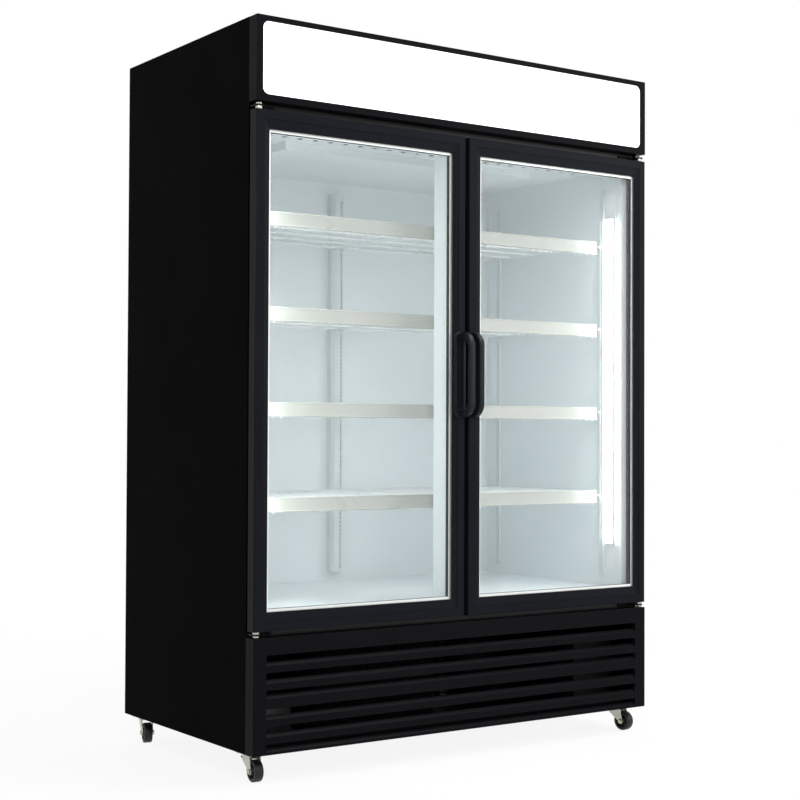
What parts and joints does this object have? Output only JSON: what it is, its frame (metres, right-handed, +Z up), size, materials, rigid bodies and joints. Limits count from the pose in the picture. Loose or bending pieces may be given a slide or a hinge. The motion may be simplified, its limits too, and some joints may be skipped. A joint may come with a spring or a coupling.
{
  "type": "upright glass-door merchandiser freezer",
  "caption": "Upright display freezer with two hinged glass doors, a lit header sign, louvred base grille, wire shelves and swivel casters.",
  "frame": {"origin": "on the floor, under the middle of the cabinet with its doors shut", "axes": "+X to the right seen from the front, +Y to the rear, +Z up; the doors face -Y"},
  "size_m": [1.38, 0.8216, 2.005],
  "materials": {
    "black_sheet": "semi-gloss black powder coat",
    "galvanised": "galvanised sheet",
    "foam": "rigid polyurethane foam",
    "liner": "white painted liner sheet",
    "header_black": "semi-gloss black",
    "sign": "translucent white acrylic, lit from behind",
    "lamp_white": "white lamp body",
    "diffuser": "frosted diffuser",
    "compressor_black": "matt black enamel",
    "coil": "aluminium fins",
    "copper": "copper tube",
    "motor_grey": "grey enamel",
    "dark_plastic": "moulded black plastic",
    "white_wire": "white plastic-coated wire",
    "pilaster": "white painted steel",
    "price_rail": "pale grey extruded plastic",
    "black_steel": "black painted steel",
    "plated": "zinc plate",
    "door_black": "black anodised extrusion",
    "glass": "clear insulated glass",
    "spacer": "matt aluminium spacer",
    "gasket": "soft magnetic gasket",
    "handle": "satin black",
    "wheel": "black nylon"
  },
  "bodies": {
    "cabinet": {"left_side_panel": "black_sheet", "right_side_panel": "black_sheet", "rear_panel": "galvanised", "roof_panel": "black_sheet", "base_frame": "galvanised", "foam_walls": "foam", "inner_liner": "liner", "face_frame": "liner", "centre_mullion": "liner", "header_frame": "header_black", "header_sign": "sign", "header_lamps": "lamp_white", "front_grille": "header_black", "rear_louvre_panel": "galvanised", "compressor": "compressor_black", "condenser_coil": "coil", "condenser_shroud": "dark_plastic", "drain_pan": "galvanised", "refrigerant_lines": "copper", "evaporator_cover": "liner", "evaporator_coil": "coil", "fan_motors": "motor_grey", "shelf_pilasters": "pilaster", "shelf_clips": "pilaster", "shelf_level_1": "white_wire", "shelf_level_2": "white_wire", "shelf_level_3": "white_wire", "shelf_level_4": "white_wire", "price_rails": "price_rail", "lamp_housings": "lamp_white", "lamp_diffusers": "diffuser", "hinge_brackets": "black_steel", "hinge_pins": "plated", "caster_plates": "plated", "control_box": "dark_plastic", "panel_screws": "plated"},
    "left_door": {"left_door_frame": "door_black", "left_door_glass": "glass", "left_door_spacers": "spacer", "left_door_gasket": "gasket", "left_door_handle": "handle"},
    "right_door": {"right_door_frame": "door_black", "right_door_glass": "glass", "right_door_spacers": "spacer", "right_door_gasket": "gasket", "right_door_handle": "handle"},
    "condenser_fan": {"condenser_fan": "dark_plastic"},
    "left_evaporator_fan": {"left_evaporator_fan": "dark_plastic"},
    "right_evaporator_fan": {"right_evaporator_fan": "dark_plastic"},
    "front_left_caster": {"front_left_fork": "plated"},
    "front_left_wheel": {"front_left_wheel": "wheel"},
    "front_right_caster": {"front_right_fork": "plated"},
    "front_right_wheel": {"front_right_wheel": "wheel"},
    "rear_left_caster": {"rear_left_fork": "plated"},
    "rear_left_wheel": {"rear_left_wheel": "wheel"},
    "rear_right_caster": {"rear_right_fork": "plated"},
    "rear_right_wheel": {"rear_right_wheel": "wheel"},
    "front_left_brake": {"front_left_brake": "plated"},
    "front_right_brake": {"front_right_brake": "plated"}
  },
  "joints": [
    {"name": "left_door_hinge", "type": "hinge", "parent": "cabinet", "child": "left_door", "pos_m": [-0.676, -0.3488, 1.079], "axis": [0, 0, -1], "range_deg": [0, 110]},
    {"name": "right_door_hinge", "type": "hinge", "parent": "cabinet", "child": "right_door", "pos_m": [0.676, -0.3488, 1.079], "axis": [0, 0, 1], "range_deg": [0, 110]},
    {"name": "condenser_fan_spin", "type": "hinge", "parent": "cabinet", "child": "condenser_fan", "pos_m": [-0.255, -0.1573, 0.23], "axis": [0, 1, 0], "continuous": true},
    {"name": "left_evaporator_fan_spin", "type": "hinge", "parent": "cabinet", "child": "left_evaporator_fan", "pos_m": [-0.23, 0.0252, 1.816], "axis": [0, 1, 0], "continuous": true},
    {"name": "right_evaporator_fan_spin", "type": "hinge", "parent": "cabinet", "child": "right_evaporator_fan", "pos_m": [0.23, 0.0252, 1.816], "axis": [0, 1, 0], "continuous": true},
    {"name": "front_left_swivel", "type": "hinge", "parent": "cabinet", "child": "front_left_caster", "pos_m": [-0.65, -0.2848, 0.067], "axis": [0, 0, 1], "continuous": true},
    {"name": "front_left_wheel_spin", "type": "hinge", "parent": "front_left_caster", "child": "front_left_wheel", "pos_m": [-0.65153, -0.30675, 0.029], "axis": [0.9976, -0.0698, 0], "continuous": true},
    {"name": "front_right_swivel", "type": "hinge", "parent": "cabinet", "child": "front_right_caster", "pos_m": [0.65, -0.2848, 0.067], "axis": [0, 0, 1], "continuous": true},
    {"name": "front_right_wheel_spin", "type": "hinge", "parent": "front_right_caster", "child": "front_right_wheel", "pos_m": [0.65306, -0.30659, 0.029], "axis": [0.9903, 0.1392, 0], "continuous": true},
    {"name": "rear_left_swivel", "type": "hinge", "parent": "cabinet", "child": "rear_left_caster", "pos_m": [-0.65, 0.3472, 0.067], "axis": [0, 0, 1], "continuous": true},
    {"name": "rear_left_wheel_spin", "type": "hinge", "parent": "rear_left_caster", "child": "rear_left_wheel", "pos_m": [-0.65643, 0.32616, 0.029], "axis": [0.9563, -0.2924, 0], "continuous": true},
    {"name": "rear_right_swivel", "type": "hinge", "parent": "cabinet", "child": "rear_right_caster", "pos_m": [0.65, 0.3472, 0.067], "axis": [0, 0, 1], "continuous": true},
    {"name": "rear_right_wheel_spin", "type": "hinge", "parent": "rear_right_caster", "child": "rear_right_wheel", "pos_m": [0.65306, 0.32541, 0.029], "axis": [0.9903, 0.1392, 0], "continuous": true},
    {"name": "front_left_brake_pedal", "type": "hinge", "parent": "front_left_caster", "child": "front_left_brake", "pos_m": [-0.64923, -0.27383, 0.057], "axis": [-0.9976, 0.0698, 0], "range_deg": [0, 12]},
    {"name": "front_right_brake_pedal", "type": "hinge", "parent": "front_right_caster", "child": "front_right_brake", "pos_m": [0.64847, -0.27391, 0.057], "axis": [-0.9903, -0.1392, 0], "range_deg": [0, 12]}
  ]
}
